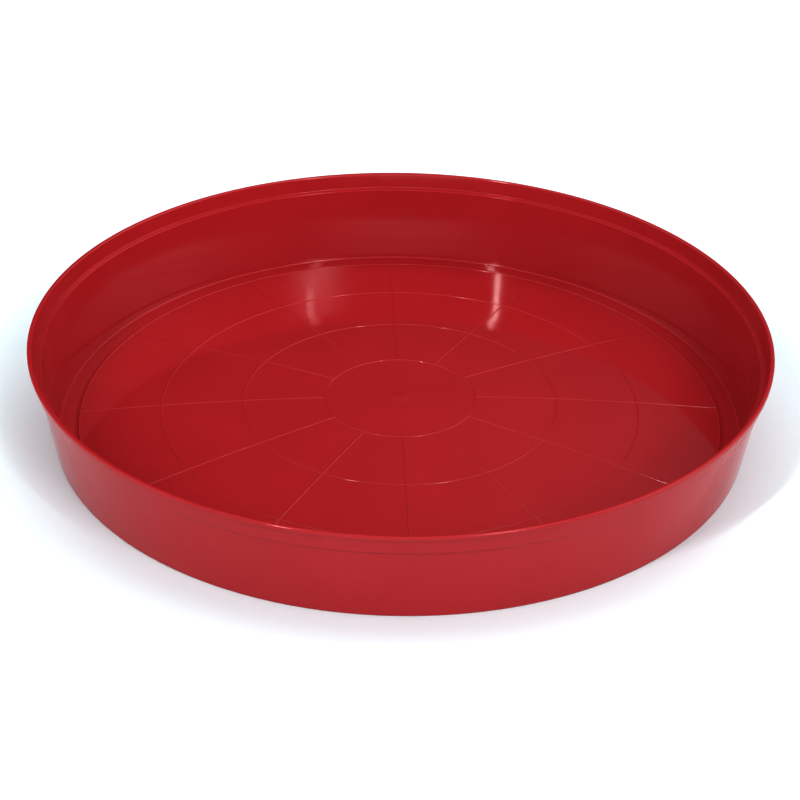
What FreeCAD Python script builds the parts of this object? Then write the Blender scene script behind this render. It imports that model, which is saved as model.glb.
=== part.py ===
import FreeCAD, Part
import os
import re

import Sketcher

# Round feed pan, moulded in one piece: a thin shell with a sloping wall, a stepped lip
# with a rounded rim, a shallow trough round the foot of the wall and a low crown whose
# face carries rings and radial lines. Millimetres, +Z up, origin at the centre of the
# plane it stands on, a radial line on +X.

NODE = "feed_pan"
RING_COUNT = 4
FULL_TURN = 360.0
TOLERANCE = 0.01

# Driving dimensions: alias, value, meaning.
DIMENSIONS = [
    ("rim_radius", 200.0, "outside of the rim"),
    ("overall_height", 53.5, "standing plane to the top of the rim"),
    ("rim_width", 2.4, "radial width of the rim's top"),
    ("rim_round", 0.85, "rounding of the rim's two top edges"),
    ("bead_depth", 2.0, "height of the rim's outer edge"),
    ("bead_overhang", 1.8, "how far the rim stands out past the lip"),
    ("bead_slope", 1.3, "height of the slope under the rim"),
    ("base_radius", 188.4, "outside of the wall at the standing plane"),
    ("base_round", 1.2, "rounding of the wall's lower outer edge"),
    ("wall_draft", 9.75, "slope of the wall from upright, degrees"),
    ("wall_thickness", 2.9, "thickness of the wall"),
    ("thickness", 1.8, "thickness of the floor"),
    ("step_height", 41.3, "foot of the lip's outer step"),
    ("step_width", 1.6, "how far the outer step stands out from the wall"),
    ("step_rise", 1.4, "height of the outer step's slope"),
    ("ledge_height", 44.7, "ledge inside the lip"),
    ("ledge_width", 2.6, "radial width of the ledge"),
    ("ledge_rise", 0.4, "rise of the ledge towards the lip"),
    ("step_round", 0.35, "rounding of the step, the ledge and the rim's underside"),
    ("trough_round", 0.9, "rounding where the trough meets the wall"),
    ("crown_height", 11.2, "top of the crown above the standing plane"),
    ("crown_edge", 2.5, "height of the crown's edge"),
    ("crown_roll", 2.2, "radial width of the fall from the crown's edge to the trough"),
    ("crown_round", 4.0, "rounding at the top and the foot of that fall"),
    ("ring_radius", 41.4, "first ring"),
    ("ring_spacing", 44.65, "from one ring to the next"),
    ("line_radius", 0.6, "section radius of the rings and the radial lines"),
    ("line_sink", 0.3, "depth of that section's centre under the crown's face"),
    ("line_count", 12.0, "radial lines"),
    ("boss_radius", 5.5, "low boss at the centre"),
    ("boss_height", 0.3, "top of the boss above the crown"),
]

# Lengths that follow from the driving ones.
WALL_SLOPE = "tan(wall_draft * 1 deg)"
WALL_WIDTH = "(wall_thickness / cos(wall_draft * 1 deg))"
CROWN_RADIUS = f"(ring_radius + {RING_COUNT - 1} * ring_spacing)"
CROWN_FALL = "(crown_height - crown_edge)"
CROWN_CURVE = f"(({CROWN_RADIUS}^2 + {CROWN_FALL}^2) / (2 * {CROWN_FALL}))"
CROWN_CENTRE = f"(crown_height - {CROWN_CURVE})"


def outer_wall(height):
    return f"(base_radius + {height} * {WALL_SLOPE})"


def inner_wall(height):
    return f"({outer_wall(height)} - {WALL_WIDTH})"


# Corners of the shell's section in order round it: radius and height.
SECTION = {
    "crown_under": ("0", "crown_height - thickness"),
    "foot_inner": (f"{CROWN_RADIUS} + crown_roll", "0"),
    "foot_outer": ("base_radius", "0"),
    "step_foot": (outer_wall("step_height"), "step_height"),
    "step_edge": (f"{outer_wall('step_height')} + step_width", "step_height + step_rise"),
    "lip_top": ("rim_radius - bead_overhang", "overall_height - bead_depth - bead_slope"),
    "bead_edge": ("rim_radius", "overall_height - bead_depth"),
    "rim_outer": ("rim_radius", "overall_height"),
    "rim_inner": ("rim_radius - rim_width", "overall_height"),
    "ledge_outer": (f"{inner_wall('ledge_height')} + ledge_width", "ledge_height + ledge_rise"),
    "ledge_inner": (inner_wall("ledge_height"), "ledge_height"),
    "trough_outer": (inner_wall("thickness"), "thickness"),
    "trough_inner": (f"{CROWN_RADIUS} + crown_roll", "thickness"),
    "crown_rim": (CROWN_RADIUS, "crown_edge"),
    "crown_top": ("0", "crown_height"),
}
# Stretches of the section that are arcs centred on the axis, by the corner they start at.
SECTION_ARCS = ("crown_under", "crown_rim")

# Rounded corners of the section: feature name, dimension, corners.
ROUNDINGS = [
    ("RimRound", "rim_round", ("rim_outer", "rim_inner")),
    ("BaseRound", "base_round", ("foot_outer",)),
    ("TroughRound", "trough_round", ("trough_outer",)),
    ("CrownRound", "crown_round", ("trough_inner", "crown_rim")),
    ("StepRound", "step_round",
     ("step_foot", "step_edge", "lip_top", "bead_edge", "ledge_outer", "ledge_inner")),
]


def make_sheet(doc):
    sheet = doc.addObject("Spreadsheet::Sheet", "Dimensions")
    for row, (alias, value, meaning) in enumerate(DIMENSIONS, start=1):
        sheet.set(f"A{row}", meaning)
        sheet.set(f"B{row}", str(value))
        sheet.setAlias(f"B{row}", alias)
    doc.recompute()
    return sheet


def cells(expression):
    """Turn the aliases in an expression into references to the sheet's cells."""
    aliases = "|".join(alias for alias, _, _ in DIMENSIONS)
    return re.sub(rf"\b({aliases})\b", r"Dimensions.\1", expression)


def value_of(item, expression):
    return FreeCAD.Units.Quantity(item.evalExpression(cells(expression))).Value


def point_of(item, place):
    radius, height = place
    return FreeCAD.Vector(value_of(item, radius), value_of(item, height), 0)


def plane_of(body, role):
    return next(plane for plane in body.Origin.OriginFeatures if plane.Role == role)


def new_sketch(body, name, role="XZ_Plane"):
    sketch = body.newObject("Sketcher::SketchObject", name)
    sketch.AttachmentSupport = [(plane_of(body, role), "")]
    sketch.MapMode = "FlatFace"
    return sketch


def bind(sketch, constraint, expression):
    """Add a dimension whose value comes from the sheet."""
    index = sketch.addConstraint(constraint)
    sketch.setExpression(f"Constraints[{index}]", cells(expression))


def pin(sketch, geometry, vertex, place):
    """Fix one point of a sketch at a radius and a height."""
    point = point_of(sketch, place)
    if place[0] == "0":
        sketch.addConstraint(Sketcher.Constraint("PointOnObject", geometry, vertex, -2))
    else:
        bind(sketch, Sketcher.Constraint("DistanceX", -1, 1, geometry, vertex, point.x), place[0])
    if place[1] == "0":
        sketch.addConstraint(Sketcher.Constraint("PointOnObject", geometry, vertex, -1))
    else:
        bind(sketch, Sketcher.Constraint("DistanceY", -1, 1, geometry, vertex, point.y), place[1])


def axis_arc(sketch, start, end):
    """Add an arc between two points, centred on the pan's axis."""
    chord = abs(end.x - start.x)
    fall = abs(end.y - start.y)
    radius = (chord ** 2 + fall ** 2) / (2 * fall)
    centre = FreeCAD.Vector(0, max(start.y, end.y) - radius, 0)
    circle = Part.Circle(centre, FreeCAD.Vector(0, 0, 1), radius)
    angles = sorted(circle.parameter(point) for point in (start, end))
    arc = sketch.addGeometry(Part.ArcOfCircle(circle, *angles))
    sketch.addConstraint(Sketcher.Constraint("PointOnObject", arc, 3, -2))
    return arc


def draw_section(body):
    """Draw the shell's half section: the standing plane below, the axis on the left."""
    sketch = new_sketch(body, "ShellSection")
    names = list(SECTION)
    ends = []
    for name, following in zip(names, names[1:] + names[:1]):
        start = point_of(sketch, SECTION[name])
        end = point_of(sketch, SECTION[following])
        if name in SECTION_ARCS:
            edge = axis_arc(sketch, start, end)
            # An arc runs counterclockwise, so the crown's face starts at its edge and the
            # underside, drawn the other way, starts at its far end.
            ends.append((edge, 1, 2) if start.x > end.x else (edge, 2, 1))
        else:
            edge = sketch.addGeometry(Part.LineSegment(start, end))
            ends.append((edge, 1, 2))
    for (edge, _, last), (following, first, _) in zip(ends, ends[1:] + ends[:1]):
        sketch.addConstraint(Sketcher.Constraint("Coincident", edge, last, following, first))
    for name, (edge, first, _) in zip(names, ends):
        pin(sketch, edge, first, SECTION[name])
    return sketch


def revolve(body, name, sketch):
    feature = body.newObject("PartDesign::Revolution", name)
    feature.Profile = sketch
    feature.ReferenceAxis = (sketch, ["V_Axis"])
    feature.Angle = FULL_TURN
    return feature


def circle_edges(feature, corners):
    """Name a turned feature's circular edges that pass through corners of the section."""
    names = []
    for corner in corners:
        point = point_of(feature, SECTION[corner])
        for number, edge in enumerate(feature.Shape.Edges, start=1):
            on_height = abs(edge.BoundBox.ZMax - point.y) < TOLERANCE
            flat = edge.BoundBox.ZLength < TOLERANCE
            on_radius = abs(edge.BoundBox.XMax - point.x) < TOLERANCE
            if on_height and flat and on_radius:
                names.append(f"Edge{number}")
    if len(names) != len(corners):
        raise RuntimeError(f"{feature.Name}: {corners} found as {names}")
    return names


def round_corners(body, feature):
    for name, dimension, corners in ROUNDINGS:
        fillet = body.newObject("PartDesign::Fillet", name)
        fillet.Base = (feature, circle_edges(feature, corners))
        fillet.setExpression("Radius", cells(dimension))
        body.Document.recompute()
        feature = fillet


def crown_face(radius, sink="0"):
    """Height of the crown's face, or of a curve sunk under it, at a radius."""
    return f"({CROWN_CENTRE} + sqrt(({CROWN_CURVE} - {sink})^2 - {radius}^2))"


def line_circle(sketch, centre):
    """Add the round section that the rings and the radial lines share."""
    radius = value_of(sketch, "line_radius")
    circle = sketch.addGeometry(Part.Circle(centre, FreeCAD.Vector(0, 0, 1), radius))
    bind(sketch, Sketcher.Constraint("Radius", circle, radius), "line_radius")
    return circle


def add_rings(body):
    """Turn the rings, whose round sections stand a little out of the crown's face."""
    sketch = new_sketch(body, "RingSections")
    for number in range(RING_COUNT):
        radius = f"(ring_radius + {number} * ring_spacing)"
        place = (radius, f"{crown_face(radius)} - line_sink")
        circle = line_circle(sketch, point_of(sketch, place))
        pin(sketch, circle, 3, place)
    revolve(body, "Rings", sketch)


def add_radial_lines(body):
    """Sweep one line along the crown from the first ring to the last and repeat it."""
    path = new_sketch(body, "LinePath")
    inner = ("ring_radius", crown_face("ring_radius", "line_sink"))
    outer = (CROWN_RADIUS, crown_face(CROWN_RADIUS, "line_sink"))
    centre = ("0", CROWN_CENTRE)
    start = point_of(path, outer)
    curve = Part.Circle(point_of(path, centre), FreeCAD.Vector(0, 0, 1),
                        (start - point_of(path, centre)).Length)
    arc = path.addGeometry(Part.ArcOfCircle(curve, curve.parameter(start),
                                            curve.parameter(point_of(path, inner))))
    pin(path, arc, 3, centre)
    pin(path, arc, 1, outer)
    bind(path, Sketcher.Constraint("DistanceX", -1, 1, arc, 2, point_of(path, inner).x), inner[0])
    body.Document.recompute()

    section = body.newObject("Sketcher::SketchObject", "LineSection")
    section.AttachmentSupport = [(path, "Edge1")]
    section.MapMode = "NormalToEdge"
    circle = line_circle(section, FreeCAD.Vector())
    section.addConstraint(Sketcher.Constraint("Coincident", circle, 3, -1, 1))

    line = body.newObject("PartDesign::AdditivePipe", "RadialLine")
    line.Profile = section
    line.Spine = (path, ["Edge1"])
    body.Document.recompute()

    lines = body.newObject("PartDesign::PolarPattern", "RadialLines")
    lines.Originals = [line]
    lines.Axis = (plane_of(body, "Z_Axis"), [""])
    lines.Angle = FULL_TURN
    lines.setExpression("Occurrences", cells("line_count"))
    body.Tip = lines
    body.Document.recompute()


def add_boss(body):
    """Turn the centre's boss: a low cap that ends in the crown's face."""
    sketch = new_sketch(body, "BossSection")
    top = ("0", "crown_height + boss_height")
    edge = ("boss_radius", crown_face("boss_radius"))
    foot = ("0", "crown_height - thickness / 2")
    arc = axis_arc(sketch, point_of(sketch, edge), point_of(sketch, top))
    floor = sketch.addGeometry(Part.LineSegment(point_of(sketch, foot), point_of(sketch, edge)))
    axis = sketch.addGeometry(Part.LineSegment(point_of(sketch, top), point_of(sketch, foot)))
    for one, other in (((arc, 2), (axis, 1)), ((axis, 2), (floor, 1)), ((floor, 2), (arc, 1))):
        sketch.addConstraint(Sketcher.Constraint("Coincident", *one, *other))
    pin(sketch, arc, 1, edge)
    pin(sketch, axis, 1, top)
    pin(sketch, axis, 2, foot)
    return revolve(body, "Boss", sketch)


def build_feed_pan(doc):
    body = doc.addObject("PartDesign::Body", NODE)
    body.Label = NODE
    shell = revolve(body, "Shell", draw_section(body))
    doc.recompute()
    round_corners(body, shell)
    add_radial_lines(body)
    add_rings(body)
    body.Tip = add_boss(body)
    doc.recompute()
    return body


def check(doc, bodies):
    for item in doc.Objects:
        if {"Invalid", "Error"} & set(item.State):
            raise RuntimeError(f"{item.Name} failed: {item.State}")
    for body in bodies:
        shape = body.Shape
        if shape.isNull() or not shape.isValid() or len(shape.Solids) != 1:
            raise RuntimeError(f"{body.Label} is not one valid solid")
        box = shape.optimalBoundingBox()
        print(f"{body.Label}: {shape.Volume:.0f} mm3, {box.XLength:.2f} x {box.YLength:.2f}"
              f" x {box.ZLength:.2f} mm, {len(shape.Faces)} faces")


def main():
    doc = FreeCAD.newDocument("FeedPan")
    make_sheet(doc)
    bodies = [build_feed_pan(doc)]
    check(doc, bodies)
    os.makedirs("parts", exist_ok=True)
    for body in bodies:
        body.Shape.exportStep(f"parts/{body.Label}.step")


main()
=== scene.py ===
import math

import bpy
from mathutils import Matrix, Quaternion, Vector


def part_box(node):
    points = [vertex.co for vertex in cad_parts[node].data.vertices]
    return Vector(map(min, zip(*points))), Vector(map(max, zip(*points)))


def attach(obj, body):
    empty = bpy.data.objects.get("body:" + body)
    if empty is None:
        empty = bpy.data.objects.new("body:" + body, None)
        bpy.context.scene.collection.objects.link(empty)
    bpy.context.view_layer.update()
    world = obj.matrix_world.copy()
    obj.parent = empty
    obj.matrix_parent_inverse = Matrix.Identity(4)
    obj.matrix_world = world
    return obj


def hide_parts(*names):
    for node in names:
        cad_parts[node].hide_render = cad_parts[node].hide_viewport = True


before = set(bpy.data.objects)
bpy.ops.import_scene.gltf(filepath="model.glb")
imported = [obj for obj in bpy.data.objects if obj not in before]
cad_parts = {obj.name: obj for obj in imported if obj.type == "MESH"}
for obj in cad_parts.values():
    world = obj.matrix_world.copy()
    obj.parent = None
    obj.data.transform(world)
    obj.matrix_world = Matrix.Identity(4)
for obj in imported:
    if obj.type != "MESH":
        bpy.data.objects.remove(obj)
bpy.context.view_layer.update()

PAN = "feed_pan"
low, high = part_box(PAN)
MM = 0.001
RIM_RADIUS = (high.x - low.x) / 2 / MM
HEIGHT = high.z / MM

# --- the shell's shape, in millimetres -------------------------------------------------------

THICKNESS = 1.8
WALL_THICKNESS = 2.9
WALL_DRAFT = math.radians(9.75)
WALL_SLOPE = math.tan(WALL_DRAFT)
WALL_WIDTH = WALL_THICKNESS / math.cos(WALL_DRAFT)
BASE_RADIUS = 188.4
BASE_ROUND = 1.2

# The rim, from its flat top down its outside to the step where the lip begins.
RIM_WIDTH = 2.4
RIM_ROUND = 0.85
BEAD_DEPTH = 2.0
BEAD_OVERHANG = 1.8
BEAD_SLOPE = 1.3
STEP_HEIGHT = 41.3
STEP_WIDTH = 1.6
STEP_RISE = 1.4
STEP_ROUND = 0.35

# The ledge inside the lip.
LEDGE_HEIGHT = 44.7
LEDGE_WIDTH = 2.6
LEDGE_RISE = 0.4

# The crown and the fall from its edge to the trough.
CROWN_HEIGHT = 11.2
CROWN_EDGE = 2.5
CROWN_ROLL = 2.2
CROWN_ROUND = 4.0
TROUGH_ROUND = 0.9
RING_RADIUS = 41.4
RING_SPACING = 44.65
RINGS = [RING_RADIUS + RING_SPACING * number for number in range(4)]
CROWN_RADIUS = RINGS[-1]
TROUGH_RADIUS = CROWN_RADIUS + CROWN_ROLL
UNDER_TOP = CROWN_HEIGHT - THICKNESS

# The rings and the radial lines share one round section, sunk under the crown's face.
LINES = 12
LINE_RADIUS = 0.6
LINE_SINK = 0.3
LINE_HALF_ANGLE = math.acos(LINE_SINK / LINE_RADIUS)
FALL_ANGLE = math.atan2(CROWN_EDGE - THICKNESS, CROWN_ROLL)
FALL_HALF_ANGLE = FALL_ANGLE + math.acos(LINE_SINK * math.cos(FALL_ANGLE) / LINE_RADIUS)
BOSS_RADIUS = 5.5
BOSS_HEIGHT = 0.3

# The underside of the crown: the rounding where it meets the foot ring, and how far in from
# there its first row lies.
UNDER_ROUND = 0.2
UNDER_FIRST = 8

# How fine the mesh is: steps over half a line's round, the turn of one step in a rounding,
# steps between two lines, and the spacing of rows on the boss, the crown and the underside.
LINE_STEPS = 6
ARC_STEP = math.radians(10)
BETWEEN_LINES = 18
BOSS_SPACING = 0.6
CROWN_SPACING = 5
UNDER_SPACING = 6
# A row this close beside a rounding or a line keeps the smooth shading of the face next to it.
EASE = 0.35
LINE_EASE = 0.1
SHARP_ANGLE = math.radians(35)


def outer_wall(height):
    return BASE_RADIUS + height * WALL_SLOPE


def inner_wall(height):
    return outer_wall(height) - WALL_WIDTH


def rounded(corners):
    """Points along straight stretches between corners, each a radius, a height and a rounding."""
    points = [Vector(corners[0][:2])]
    for before, corner, after in zip(corners, corners[1:], corners[2:]):
        tip = Vector(corner[:2])
        back = (Vector(before[:2]) - tip).normalized()
        ahead = (Vector(after[:2]) - tip).normalized()
        half = back.angle(ahead) / 2
        reach = corner[2] / math.tan(half)
        centre = tip + (back + ahead).normalized() * corner[2] / math.sin(half)
        start = tip + back * reach - centre
        turn = start.angle_signed(tip + ahead * reach - centre)
        steps = max(2, round(abs(turn) / ARC_STEP))
        points.append(tip + back * (reach + EASE))
        points += [centre + Matrix.Rotation(-turn * step / steps, 2) @ start
                   for step in range(steps + 1)]
        points.append(tip + ahead * (reach + EASE))
    points.append(Vector(corners[-1][:2]))
    return points


def cap(radius, top, edge_radius, edge):
    """Height at a radius of a cap that falls from a top on the axis to an edge."""
    fall = top - edge
    curve = (edge_radius ** 2 + fall ** 2) / (2 * fall)
    return top - curve + math.sqrt(curve ** 2 - radius ** 2)


def crown(radius):
    return cap(radius, CROWN_HEIGHT, CROWN_RADIUS, CROWN_EDGE)


def underside(radius):
    return cap(radius, UNDER_TOP, TROUGH_RADIUS, 0)


def line_offsets():
    """Distances from a raised line's middle: over its round top, at its feet and just outside."""
    angles = [LINE_HALF_ANGLE * step / LINE_STEPS for step in range(-LINE_STEPS, LINE_STEPS + 1)]
    offsets = [LINE_RADIUS * math.sin(angle) for angle in angles]
    return [offsets[0] - LINE_EASE] + offsets + [offsets[-1] + LINE_EASE]


def line_height(offset):
    """How far a raised line stands out of the crown at a place across it."""
    return max(0, math.sqrt(max(0, LINE_RADIUS ** 2 - offset ** 2)) - LINE_SINK)


def spread(first, last, spacing):
    """Even steps between two radii, without the ends."""
    count = max(1, round((last - first) / spacing))
    return [first + (last - first) * step / count for step in range(1, count)]


def crown_section():
    """Rows of the crown's face from the axis outwards, with the boss and the rings."""
    boss_top = CROWN_HEIGHT + BOSS_HEIGHT
    boss_edge = crown(BOSS_RADIUS)
    rows = [Vector((radius, cap(radius, boss_top, BOSS_RADIUS, boss_edge)))
            for radius in [0] + spread(0, BOSS_RADIUS, BOSS_SPACING)]
    rows.append(Vector((BOSS_RADIUS, boss_edge)))
    inner = BOSS_RADIUS + EASE
    rows.append(Vector((inner, crown(inner))))
    for ring in RINGS:
        offsets = line_offsets()
        if ring == CROWN_RADIUS:
            offsets = offsets[:len(offsets) // 2]
        for radius in spread(inner, ring + offsets[0], CROWN_SPACING):
            rows.append(Vector((radius, crown(radius))))
        for offset in offsets:
            rows.append(Vector((ring + offset, crown(ring + offset) + line_height(offset))))
        inner = ring + offsets[-1] + EASE
    return rows + last_ring_top()


def last_ring_top():
    """The last ring from its top down to its foot on the fall to the trough."""
    middle = Vector((CROWN_RADIUS, CROWN_EDGE - LINE_SINK))
    angles = [FALL_HALF_ANGLE * step / LINE_STEPS for step in range(LINE_STEPS + 1)]
    return [middle + Vector((math.sin(angle), math.cos(angle))) * LINE_RADIUS for angle in angles]


def shell_section():
    """The whole section: from the axis over crown, wall and rim, then back under to the axis."""
    ledge_foot = inner_wall(LEDGE_HEIGHT)
    step_foot = outer_wall(STEP_HEIGHT)
    under_first = TROUGH_RADIUS - UNDER_FIRST
    rows = crown_section()
    rows += rounded([
        (*rows[-1], 0),
        (TROUGH_RADIUS, THICKNESS, CROWN_ROUND),
        (inner_wall(THICKNESS), THICKNESS, TROUGH_ROUND),
        (ledge_foot, LEDGE_HEIGHT, STEP_ROUND),
        (ledge_foot + LEDGE_WIDTH, LEDGE_HEIGHT + LEDGE_RISE, STEP_ROUND),
        (RIM_RADIUS - RIM_WIDTH, HEIGHT, RIM_ROUND),
        (RIM_RADIUS, HEIGHT, RIM_ROUND),
        (RIM_RADIUS, HEIGHT - BEAD_DEPTH, STEP_ROUND),
        (RIM_RADIUS - BEAD_OVERHANG, HEIGHT - BEAD_DEPTH - BEAD_SLOPE, STEP_ROUND),
        (step_foot + STEP_WIDTH, STEP_HEIGHT + STEP_RISE, STEP_ROUND),
        (step_foot, STEP_HEIGHT, STEP_ROUND),
        (BASE_RADIUS, 0, BASE_ROUND),
        (TROUGH_RADIUS, 0, UNDER_ROUND),
        (under_first, underside(under_first), 0),
    ])[1:]
    rows += [Vector((radius, underside(radius)))
             for radius in reversed([0] + spread(0, under_first, UNDER_SPACING))]
    return rows


def column_angles(radius):
    """Angles of the columns at a radius: close together across each line, even between lines."""
    sector = 2 * math.pi / LINES
    near = [offset / min(max(radius, RINGS[0]), CROWN_RADIUS) for offset in line_offsets()]
    gap = sector - 2 * near[-1]
    between = [near[-1] + gap * step / BETWEEN_LINES for step in range(1, BETWEEN_LINES)]
    return [sector * line + angle for line in range(LINES) for angle in near + between]


def turned_row(row, raised):
    """One row of the section turned about the axis, with the radial lines raised on the crown."""
    offsets = line_offsets()
    angles = column_angles(row.x)
    columns_per_line = len(angles) // LINES
    vertices = []
    for column, angle in enumerate(angles):
        place = column % columns_per_line
        height = row.y
        if raised and place < len(offsets):
            height = max(height, crown(row.x) + line_height(offsets[place]))
        across = row.x * MM
        vertices.append((across * math.cos(angle), across * math.sin(angle), height * MM))
    return vertices


def turned_faces(count, columns):
    """Faces between turned rows, closed at the axis by the two vertices that follow them."""
    top = count * columns
    under = top + 1
    last = (count - 1) * columns
    faces = []
    for this in range(0, last, columns):
        following = this + columns
        for column in range(columns):
            beside = (column + 1) % columns
            faces.append((this + column, following + column, following + beside, this + beside))
    for column in range(columns):
        beside = (column + 1) % columns
        faces.append((top, column, beside))
        faces.append((under, last + beside, last + column))
    return faces


def add_shell():
    """Turn the section into one closed mesh; the lines run from the first ring to the last."""
    rows = shell_section()
    crown_rows = len(crown_section())
    vertices = []
    for number, row in enumerate(rows[1:-1], start=1):
        raised = number < crown_rows and RINGS[0] <= row.x <= CROWN_RADIUS
        vertices += turned_row(row, raised)
    faces = turned_faces(len(rows) - 2, len(column_angles(CROWN_RADIUS)))
    vertices += [(0, 0, row.y * MM) for row in (rows[0], rows[-1])]
    mesh = bpy.data.meshes.new("pan_shell")
    mesh.from_pydata(vertices, [], faces)
    mesh.shade_smooth()
    mesh.set_sharp_from_angle(angle=SHARP_ANGLE)
    shell = bpy.data.objects.new("pan_shell", mesh)
    bpy.context.scene.collection.objects.link(shell)
    mesh.materials.append(red_plastic())
    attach(shell, "root")
    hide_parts(PAN)


# --- materials -------------------------------------------------------------------------------

# Scales are in waves per metre, depths in metres.
FLOW_SCALE = 22
GLOSS_SCALE = 90
WAVE_SCALE = 28
WAVE_DEPTH = 0.00004
PEEL_SCALE = 700
PEEL_DEPTH = 0.000002
RED = (0.352, 0.0245, 0.0305, 1)
LIGHTER_RED = (0.37, 0.027, 0.0335, 1)
# The middle of a noise, stretched to the full range of what it drives.
NOISE_MIDDLE = (0.3, 0.7)


def new_material(name):
    material = bpy.data.materials.new(name)
    material.use_nodes = True
    return material, material.node_tree.nodes["Principled BSDF"]


def add_noise(tree, scale, detail, least, most):
    """Noise in the pan's own space, between two values."""
    noise = tree.nodes.new("ShaderNodeTexNoise")
    noise.inputs["Scale"].default_value = scale
    noise.inputs["Detail"].default_value = detail
    place = tree.nodes.new("ShaderNodeTexCoord").outputs["Object"]
    tree.links.new(place, noise.inputs["Vector"])
    stretch = tree.nodes.new("ShaderNodeMapRange")
    stretch.inputs["From Min"].default_value = NOISE_MIDDLE[0]
    stretch.inputs["From Max"].default_value = NOISE_MIDDLE[1]
    stretch.inputs["To Min"].default_value = least
    stretch.inputs["To Max"].default_value = most
    tree.links.new(noise.outputs["Fac"], stretch.inputs["Value"])
    return stretch.outputs["Result"]


def add_bump(tree, depth, height):
    bump = tree.nodes.new("ShaderNodeBump")
    bump.inputs["Distance"].default_value = depth
    tree.links.new(height, bump.inputs["Height"])
    return bump


def red_plastic():
    """Glossy moulded plastic with faint flow streaks, uneven gloss and a slightly wavy face."""
    material, shader = new_material("red_plastic")
    tree = material.node_tree
    color = tree.nodes.new("ShaderNodeMix")
    color.data_type = "RGBA"
    color.inputs[6].default_value = RED
    color.inputs[7].default_value = LIGHTER_RED
    mottle = add_noise(tree, FLOW_SCALE, detail=3, least=0, most=1)
    tree.links.new(mottle, color.inputs["Factor"])
    tree.links.new(color.outputs[2], shader.inputs["Base Color"])
    gloss = add_noise(tree, GLOSS_SCALE, detail=4, least=0.06, most=0.09)
    tree.links.new(gloss, shader.inputs["Roughness"])
    wave = add_bump(tree, WAVE_DEPTH, add_noise(tree, WAVE_SCALE, detail=1, least=0, most=1))
    peel = add_bump(tree, PEEL_DEPTH, add_noise(tree, PEEL_SCALE, detail=2, least=0, most=1))
    tree.links.new(wave.outputs["Normal"], peel.inputs["Normal"])
    tree.links.new(peel.outputs["Normal"], shader.inputs["Normal"])
    shader.inputs["IOR"].default_value = 1.5
    shader.inputs["Specular IOR Level"].default_value = 0.37
    return material


def floor_paint():
    material, shader = new_material("floor_paint")
    shader.inputs["Base Color"].default_value = (0.72, 0.82, 0.85, 1)
    shader.inputs["Roughness"].default_value = 0.9
    return material


# --- studio ----------------------------------------------------------------------------------

# Distances and sizes in metres, lens and sensor in millimetres, power in watts.
VIEW_TURN = math.radians(-2.6)
VIEW_ELEVATION = math.radians(31.065)
VIEW_DISTANCE = 1.2285
VIEW_ROLL = math.radians(1.0)
AIM = Vector((0, 0, 0.0089))
LENS = 100.14
SENSOR_WIDTH = 36
LIGHT_DISTANCE = 5
FLOOR_HALF = 20
# Darkens the low tones and keeps white white.
TONE_GAMMA = 0.667


def around(azimuth, elevation, distance):
    """A point seen from the pan's centre. Azimuth 0 is the camera's side, positive to its right."""
    angle = math.radians(azimuth) + VIEW_TURN
    flat = distance * math.cos(elevation)
    return Vector((flat * math.sin(angle), -flat * math.cos(angle), distance * math.sin(elevation)))


def add_camera():
    data = bpy.data.cameras.new("camera")
    data.lens = LENS
    data.sensor_width = SENSOR_WIDTH
    camera = bpy.data.objects.new("camera", data)
    camera.location = around(0, VIEW_ELEVATION, VIEW_DISTANCE)
    look = (AIM - camera.location).to_track_quat("-Z", "Y")
    camera.rotation_mode = "QUATERNION"
    camera.rotation_quaternion = look @ Quaternion((0, 0, 1), VIEW_ROLL)
    bpy.context.scene.collection.objects.link(camera)
    bpy.context.scene.camera = camera


def add_softbox(name, azimuth, elevation, size, power):
    """A rectangle of light that faces the pan's centre."""
    data = bpy.data.lights.new(name, "AREA")
    data.shape = "RECTANGLE"
    data.size, data.size_y = size
    data.energy = power
    light = bpy.data.objects.new(name, data)
    light.location = around(azimuth, math.radians(elevation), LIGHT_DISTANCE)
    light.rotation_mode = "QUATERNION"
    light.rotation_quaternion = (-light.location).to_track_quat("-Z", "Y")
    bpy.context.scene.collection.objects.link(light)


def add_floor():
    corners = [(-1, -1), (1, -1), (1, 1), (-1, 1)]
    mesh = bpy.data.meshes.new("floor")
    mesh.from_pydata([(x * FLOOR_HALF, y * FLOOR_HALF, 0) for x, y in corners], [], [(0, 1, 2, 3)])
    floor = bpy.data.objects.new("floor", mesh)
    bpy.context.scene.collection.objects.link(floor)
    mesh.materials.append(floor_paint())


# Soft light from around the pan: azimuth, elevation, brightness at its middle, sharpness.
GLOWS = [
    (0, 5, 2.9, 8),
    (140, 45, 1.1, 12),
    (90, 15, 2.8, 6),
    (-90, 15, 2.1, 6),
    (32, 35, 22, 130),
]
DIMMEST = 0.02
WHITE = (1, 1, 1, 1)


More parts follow.
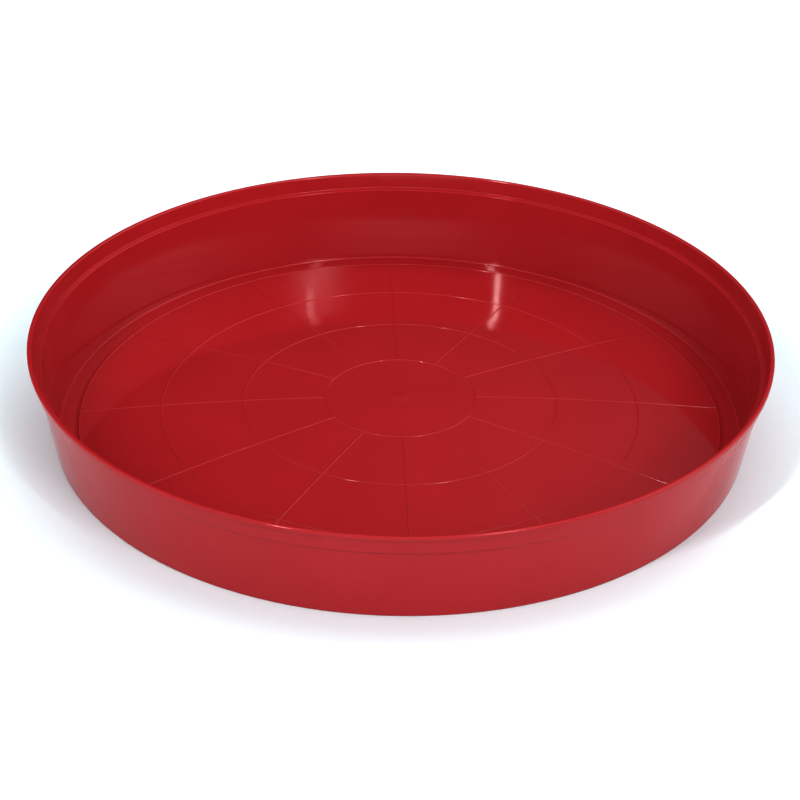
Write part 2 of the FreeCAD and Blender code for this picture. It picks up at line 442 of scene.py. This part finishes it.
def add_math(tree, operation, source, *values):
    """A math node fed by an output, with numbers in its other inputs."""
    node = tree.nodes.new("ShaderNodeMath")
    node.operation = operation
    tree.links.new(source, node.inputs[0])
    for socket, value in zip(node.inputs[1:], values):
        socket.default_value = value
    return node


def add_glows(tree):
    """How bright each direction is: all the glows, each fading out sideways, added up."""
    direction = tree.nodes.new("ShaderNodeTexCoord").outputs["Generated"]
    total = None
    for azimuth, elevation, brightness, sharpness in GLOWS:
        facing = tree.nodes.new("ShaderNodeVectorMath")
        facing.operation = "DOT_PRODUCT"
        tree.links.new(direction, facing.inputs[0])
        facing.inputs[1].default_value = around(azimuth, math.radians(elevation), 1)
        forward = add_math(tree, "MAXIMUM", facing.outputs["Value"], 0)
        fade = add_math(tree, "POWER", forward.outputs["Value"], sharpness)
        add = add_math(tree, "MULTIPLY_ADD", fade.outputs["Value"], brightness, DIMMEST)
        if total:
            tree.links.new(total, add.inputs[2])
        total = add.outputs["Value"]
    return total


def add_world():
    """White where the camera sees it; for the pan, dark with soft glows."""
    world = bpy.data.worlds.new("studio")
    world.use_nodes = True
    tree = world.node_tree
    glow = tree.nodes["Background"]
    glow.inputs["Color"].default_value = WHITE
    tree.links.new(add_glows(tree), glow.inputs["Strength"])
    white = tree.nodes.new("ShaderNodeBackground")
    white.inputs["Color"].default_value = WHITE
    path = tree.nodes.new("ShaderNodeLightPath")
    mix = tree.nodes.new("ShaderNodeMixShader")
    tree.links.new(path.outputs["Is Camera Ray"], mix.inputs["Fac"])
    tree.links.new(glow.outputs["Background"], mix.inputs[1])
    tree.links.new(white.outputs["Background"], mix.inputs[2])
    tree.links.new(mix.outputs["Shader"], tree.nodes["World Output"].inputs["Surface"])
    bpy.context.scene.world = world


add_camera()
add_softbox("strip_right", 36, 49, (0.2, 1.8), 34)
add_softbox("strip_left", -37.2, 43, (0.12, 2.0), 102)
add_softbox("softbox_top", 178, 74, (4.6, 3.6), 132)
add_floor()
add_world()
bpy.context.scene.view_settings.view_transform = "Standard"
bpy.context.scene.view_settings.gamma = TONE_GAMMA

add_shell()
